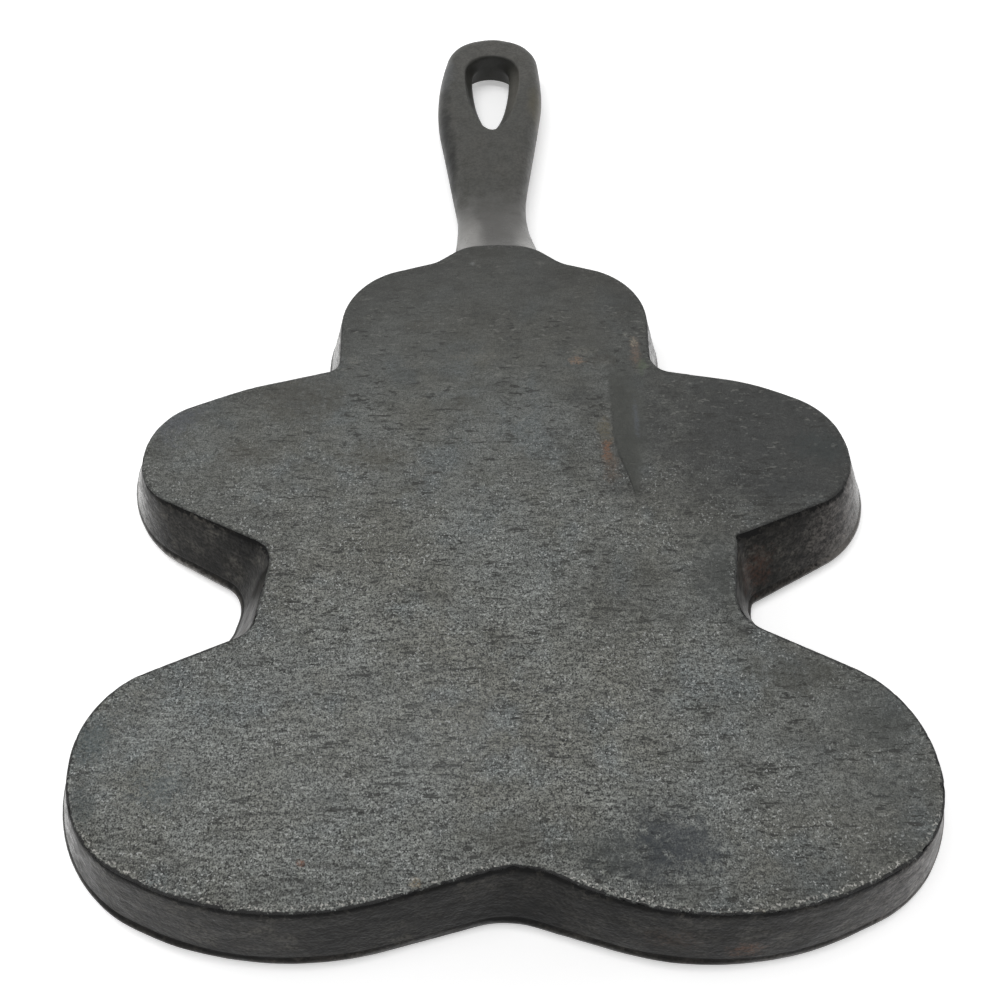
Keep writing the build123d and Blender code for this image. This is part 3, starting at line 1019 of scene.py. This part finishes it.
def back_relief(n, grain, rough_zone):
    """Grain, runs and low flakes, with painted light and shade on the flakes' slopes. Returns the height of
    the flakes.
    """
    gain = n.minus(n.ramp(grain, 0.32, 0.68, 0, 2.25), 1)
    n.dim(n.plus(n.times(gain, rough_zone), 1))
    runs = n.noise(2.2, 3, 0.6, (0.4, 1, 1))
    n.dim(n.ramp(runs, 0.42, 0.64, 1.05, 0.84))
    flakes = n.noise(1, 3, 0.6, (0.5, 1, 1))
    beyond = n.noise(1, 3, 0.6, (0.5, 1, 1), (0, FLAKE_STEP, 0))
    slope = n.times(n.minus(flakes, beyond), rough_zone)
    # Painted light and shade: each flake lighter on one slope and darker on the other, as if lit from the
    # back
    n.dim(n.ramp(slope, -0.16, 0.16, 0.7, 1.3))
    return flakes


def back_dashes(n):
    """Pale dashes and dark ones over them. Returns the mask of the dark ones."""
    zone = n.ramp(n.noise(7, 2, 0.5), 0.36, 0.55, 0.15, 1)
    zone = n.times(zone, n.ramp(n.x, *DASHES_X, 0.55, 1), n.ramp(n.y, *DASHES_Y, 1, 0.3))
    n.tint(n.times(dash_mask(n, 0.4, 0.6, 0.37, 0.33), zone, 0.4), PALE_DASH)
    short = dash_mask(n, 0.3, 0.62, 0.632, 0.675)
    long = dash_mask(n, 0.2, 0.85, 0.65, 0.685)
    dark = n.times(n.math("MAXIMUM", short, long), zone)
    n.tint(n.times(dark, 0.85), DARK_DASH)
    return dark


def back_specks(n, speckle, rough_zone):
    """Pits, glints and pale flecks."""
    pits = n.ramp(n.noise(0.75, 2, 0.5), 0.36, 0.29)
    n.tint(n.times(pits, rough_zone, 0.85), BACK_PIT)
    places = n.ramp(n.noise(4.5, 2), 0.4, 0.58, 0.15, 1)
    glints = n.times(n.ramp(speckle, 0.62, 0.68), n.ramp(rough_zone, 0.35, 0.85), places, 0.8)
    n.tint(glints, BACK_GLINT)
    flecks = n.noise(1.7, 3, 0.65, (0.6, 1, 1))
    n.tint(n.ramp(flecks, 0.66, 0.74, 0, 0.5), BACK_FLECK)


def back_edge(n, edge, speckle):
    """Black chips along the edge, and pale specks just inside them: worn iron with a painted highlight."""
    chipped = n.plus(edge, n.ragged(1.1, 3.2))
    chipped = n.times(n.ramp(chipped, 0.3, 0.05), n.ramp(n.y, *CHIPPED_Y, 0.4, 1))
    n.tint(chipped, EDGE_CHIP)
    # Worn iron and a painted highlight: pale specks just inside the edge
    worn = n.times(n.ramp(edge, 1.3, 0.7), n.ramp(speckle, 0.54, 0.64))
    worn = n.times(worn, n.ramp(n.noise(5, 2), 0.4, 0.55, 0.1, 1), n.ramp(edge, 0.2, 0.5))
    n.tint(n.times(worn, n.ramp(n.y, *WORN_AND_HIGHLIGHT_Y, 0.1, 1)), EDGE_WORN_AND_HIGHLIGHT)


def back_iron():
    """The flat back: grey sand-cast grain with short dark dashes along X, and pale specks at its edge that
    are worn iron with a painted highlight.
    """
    n = Iron("back_iron")
    edge = n.attribute("edge_mm")
    mottle = n.noise(4, 4)
    grain = n.grain(BACK_GRAIN)
    speckle = n.noise(0.42, 1, 0.5)
    wobble = n.ragged()
    groove = groove_mask(n, wobble)
    rough_zone = n.times(n.ramp(n.y, *SMOOTH_Y, 1, 0.28), n.ramp(n.x, *SMOOTH_X, 1, 0.62))
    rough_zone = n.times(rough_zone, n.ramp(groove, 0, 1, 1, 0.4))
    marks = [
        ((*centre, BACK_MARKS_Z), (*reach, BACK_MARKS_HALF_Z), *look) for centre, reach, *look in BACK_MARKS
    ]

    back_tones(n, edge, mottle)
    flakes = back_relief(n, grain, rough_zone)
    dashes = back_dashes(n)
    back_specks(n, speckle, rough_zone)
    n.tint(n.times(groove, 0.72), GROOVE_SHADE)
    n.mark(wobble, speckle, marks)
    back_edge(n, edge, speckle)

    roughness = n.ramp(mottle, 0.3, 0.7, 0.44, 0.56)
    lumps = n.noise(3.2, 2, 0.5)
    height = n.summed((grain, 0.3), (flakes, 0.45), (lumps, 1), (dashes, -0.15))
    height = n.times(height, n.ramp(rough_zone, 0, 1, 0.35, 1))
    return n.finished(roughness, height, BACK_SPECULAR)


def wall_tones(n, mottle):
    """Brown-black of the wall, with a painted reflection at its right end and painted light on the rim."""
    clouds = n.noise(16, 3)
    n.color = n.mix(n.ramp(clouds, 0.35, 0.68), WALL_BLACK, WALL_BROWN)
    n.tint(n.ramp(mottle, 0.5, 0.7, 0, 0.6), WALL_MOTTLE)
    n.dim(n.ramp(n.noise(6, 3), 0.38, 0.64, 0.55, 1.75))
    n.dim(n.ramp(n.y, *WALL_LIGHT_Y, 1, 1.5))
    # Painted reflection: the wall's right end is paler, as it reflects the white stage at a grazing angle
    n.tint(n.ramp(n.x, *WALL_REFLECTION_X, 0, 0.85), WALL_PAINTED_REFLECTION)
    # Painted light: the rim is paler, as if lit by the white floor below it
    n.tint(n.ramp(n.z, *RIM_LIGHT_Z, 0, 0.42), RIM_PAINTED_LIGHT)


def wall_lines(n, wobble):
    """Painted shade in the groove at the parting line, clearest at the left foot, and a painted shadow
    under the edge.
    """
    # Painted shade in the groove of the parting line
    below = n.minus(n.plus(n.times(wobble, 0.35), PARTING_LINE_Z), n.z)
    line = n.times(n.ramp(below, -0.35, 0), n.ramp(below, 0.7, 0.25))
    strength = n.times(n.ramp(n.noise(7, 2), 0.4, 0.62), 0.3)
    strength = n.math("MAXIMUM", strength, n.ramp(n.x, *LEFT_FOOT_X, 0, 0.7))
    n.tint(n.times(line, strength), PARTING_SHADE)
    # Painted shadow of the overhanging edge of the back, in a ragged band under it
    reach = n.plus(n.attribute("edge_mm"), n.ragged(1.6, 4))
    n.tint(n.ramp(reach, -1.25, -1.05), UNDER_EDGE_SHADOW)


def wall_iron():
    """The drafted wall and the rim: brown-black, with a painted shadow under the edge of the back."""
    n = Iron("wall_iron")
    mottle = n.noise(2.6, 4)
    grain = n.grain(WALL_GRAIN)
    speckle = n.noise(0.55, 1, 0.5)
    runs = n.noise(1.3, 3, 0.6, (0.35, 0.35, 1))
    scuffs = n.noise(1.5, 5, 0.72, (0.6, 0.6, 1))
    pits = n.ramp(n.noise(0.9, 2, 0.5), 0.36, 0.29)
    wobble = n.ragged()

    wall_tones(n, mottle)
    n.dim(n.ramp(grain, 0.37, 0.63, 0.4, 1.7))
    n.dim(n.ramp(scuffs, 0.4, 0.58, 0.6, 1.22))
    n.dim(n.ramp(runs, 0.42, 0.64, 1.1, 0.6))
    n.tint(n.times(pits, 0.9), WALL_PIT)
    n.mark(wobble, speckle, WALL_MARKS)
    wall_lines(n, wobble)

    roughness = n.polished(wobble, n.ramp(mottle, 0.3, 0.7, 0.3, 0.44), WALL_POLISH, 0.2)
    height = n.summed((grain, 0.1), (runs, 0.12), (n.noise(2.4, 3, 0.55), 0.14))
    return n.finished(roughness, height, WALL_SPECULAR)


def cavity_iron():
    """Inside of the pan: smooth black seasoning over fine grain."""
    n = Iron("cavity_iron")
    mottle = n.noise(7, 4)
    grain = n.grain(CAVITY_GRAIN)
    n.color = n.mix(n.ramp(mottle, 0.35, 0.65), CAVITY_BLACK, CAVITY_BROWN)
    n.dim(n.ramp(grain, 0.37, 0.63, 0.4, 1.6))
    roughness = n.ramp(mottle, 0.3, 0.7, 0.34, 0.5)
    height = n.summed((grain, 0.06), (n.noise(2, 3, 0.5), 0.1))
    return n.finished(roughness, height, CAVITY_SPECULAR)


def handle_iron():
    """Smoother iron of the handle, with painted shade down its left side and in its hole, and painted
    highlights at its root and on the hole's right wall.
    """
    n = Iron("handle_iron")
    mottle = n.noise(3, 4)
    clouds = n.noise(15, 3)
    grain = n.grain(HANDLE_GRAIN)
    speckle = n.noise(HANDLE_GRAIN, 1)
    soft = n.times(n.minus(mottle, 0.5), 0.5)

    n.color = n.mix(n.ramp(clouds, 0.35, 0.65), HANDLE_GREY, HANDLE_DARK)
    n.tint(n.ramp(mottle, 0.5, 0.75, 0, 0.5), HANDLE_MOTTLE)
    n.dim(n.ramp(grain, 0.37, 0.63, 0.8, 1.2))
    n.mark(n.ragged(3.5, 1), speckle, HANDLE_MARKS)
    # Painted highlights on the fillet at the handle's root
    for centre, reach, highlight_color in FILLET_HIGHLIGHT:
        n.tint(n.spot(soft, centre, reach), highlight_color)
    # Painted shade inside the hole, with painted light on its right wall
    hole_light_and_shade = n.mix(n.spot(soft, *HOLE_LIGHT_PLACE), HOLE_SHADE, HOLE_BOUNCE_LIGHT)
    n.tint(n.times(n.attribute("in_hole"), 0.92), hole_light_and_shade)

    roughness = n.polished(soft, n.ramp(mottle, 0.3, 0.7, 0.38, 0.5), [FILLET_POLISH], 0.16)
    height = n.summed((grain, 0.04), (n.noise(2.6, 2, 0.5), 0.08))
    return n.finished(roughness, height, HANDLE_SPECULAR)


# Stage

# Glow of the floor for rays that show it, half its side in metres, and light and look of the world
FLOOR_WHITE = 0.36
FLOOR_HALF = 3.0
WORLD_LIGHT = 0.35
WORLD_SHOWN = 1.0
CLIP_START = 0.01

# Lamps: name, place in metres, width and depth, and power in watts
LAMPS = [
    ("overhead", (-0.1, 0.0, 0.8), 0.5, 0.5, 2.6),
    ("left_key", (-0.7, 0.42, 0.42), 0.4, 0.3, 2.6),
    ("right_fill", (0.75, 0.3, 0.4), 0.5, 0.4, 1.0),
]
# The lamp that shows in reflections
GLOSSY_LAMP = "overhead"


def plain_white(n):
    """1 for rays that show the stage itself: from the camera, in reflections and through glass."""
    path = n.add("ShaderNodeLightPath")
    shown = n.plus(path.outputs["Is Camera Ray"], path.outputs["Is Glossy Ray"])
    return n.math("ADD", shown, path.outputs["Is Transmission Ray"], clamp=True)


def make_floor():
    """Wide white floor that keeps the shadow, and can't be seen from below."""
    n = Nodes(bpy.data.materials.new("floor_white"))
    diffuse = n.add("ShaderNodeBsdfDiffuse", {"Color": WHITE})
    strength = n.times(plain_white(n), FLOOR_WHITE)
    white = n.add("ShaderNodeEmission", {"Color": WHITE, "Strength": strength})
    both = n.add("ShaderNodeAddShader", {0: diffuse.outputs[0], 1: white.outputs[0]})
    clear = n.add("ShaderNodeBsdfTransparent")
    behind = n.add("ShaderNodeNewGeometry").outputs["Backfacing"]
    shader = n.add("ShaderNodeMixShader", {0: behind, 1: both.outputs[0], 2: clear.outputs[0]})
    n.add("ShaderNodeOutputMaterial", {"Surface": shader.outputs[0]})
    corners = [(x * FLOOR_HALF, y * FLOOR_HALF, 0) for x, y in ((-1, -1), (1, -1), (1, 1), (-1, 1))]
    mesh = bpy.data.meshes.new("floor")
    mesh.from_pydata(corners, [], [(0, 1, 2, 3)])
    mesh.materials.append(n.owner)
    placed_in_scene("floor", mesh)


def make_world():
    """Even white light, brighter where it shows than where it lights."""
    world = bpy.data.worlds.new("studio")
    bpy.context.scene.world = world
    n = Nodes(world)
    strength = n.ramp(plain_white(n), 0.0, 1.0, WORLD_LIGHT, WORLD_SHOWN)
    background = n.add("ShaderNodeBackground", {"Color": WHITE, "Strength": strength})
    n.add("ShaderNodeOutputWorld", {"Surface": background.outputs[0]})


def make_lamps():
    """Soft area lamps aimed at the origin."""
    for name, place, width, depth, power in LAMPS:
        light = bpy.data.lights.new(name, "AREA")
        light.shape = "RECTANGLE"
        light.size = width
        light.size_y = depth
        light.energy = power
        lamp = placed_in_scene(name, light)
        lamp.location = place
        aim = Vector() - Vector(place)
        lamp.rotation_euler = aim.to_track_quat("-Z", "Y").to_euler()
        lamp.visible_glossy = name == GLOSSY_LAMP


def make_camera():
    """Camera at the photograph's viewpoint."""
    level = cos(CAMERA_PITCH)
    forward = Vector((sin(CAMERA_YAW) * level, cos(CAMERA_YAW) * level, -sin(CAMERA_PITCH)))
    right = Vector((cos(CAMERA_YAW), -sin(CAMERA_YAW), 0.0))
    down = forward.cross(right)
    across = right * cos(CAMERA_ROLL) + down * sin(CAMERA_ROLL)
    up = right * sin(CAMERA_ROLL) - down * cos(CAMERA_ROLL)
    data = bpy.data.cameras.new("camera")
    data.lens = CAMERA_LENS
    data.sensor_width = CAMERA_SENSOR
    data.clip_start = CLIP_START
    camera = placed_in_scene("camera", data)
    turn = Matrix((across, up, -forward)).transposed().to_4x4()
    camera.matrix_world = Matrix.Translation(Vector(CAMERA_PLACE) * MM) @ turn
    bpy.context.scene.camera = camera


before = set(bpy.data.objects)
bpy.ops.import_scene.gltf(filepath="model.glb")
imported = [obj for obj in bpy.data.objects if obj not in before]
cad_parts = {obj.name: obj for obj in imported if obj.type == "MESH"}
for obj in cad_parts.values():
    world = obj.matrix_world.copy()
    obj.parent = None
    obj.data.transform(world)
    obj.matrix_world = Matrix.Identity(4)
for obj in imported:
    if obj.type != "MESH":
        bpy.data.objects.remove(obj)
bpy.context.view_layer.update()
bpy.context.scene.view_settings.view_transform = "Standard"

make_camera()
make_world()
make_lamps()
make_floor()

pan_floor, pan_wall = make_pan(back_iron(), wall_iron(), cavity_iron())
handle = make_handle(handle_iron())
for piece in (pan_floor, pan_wall, handle):
    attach(piece, "root")
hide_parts("pan_floor")
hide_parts("pan_wall")
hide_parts("handle")
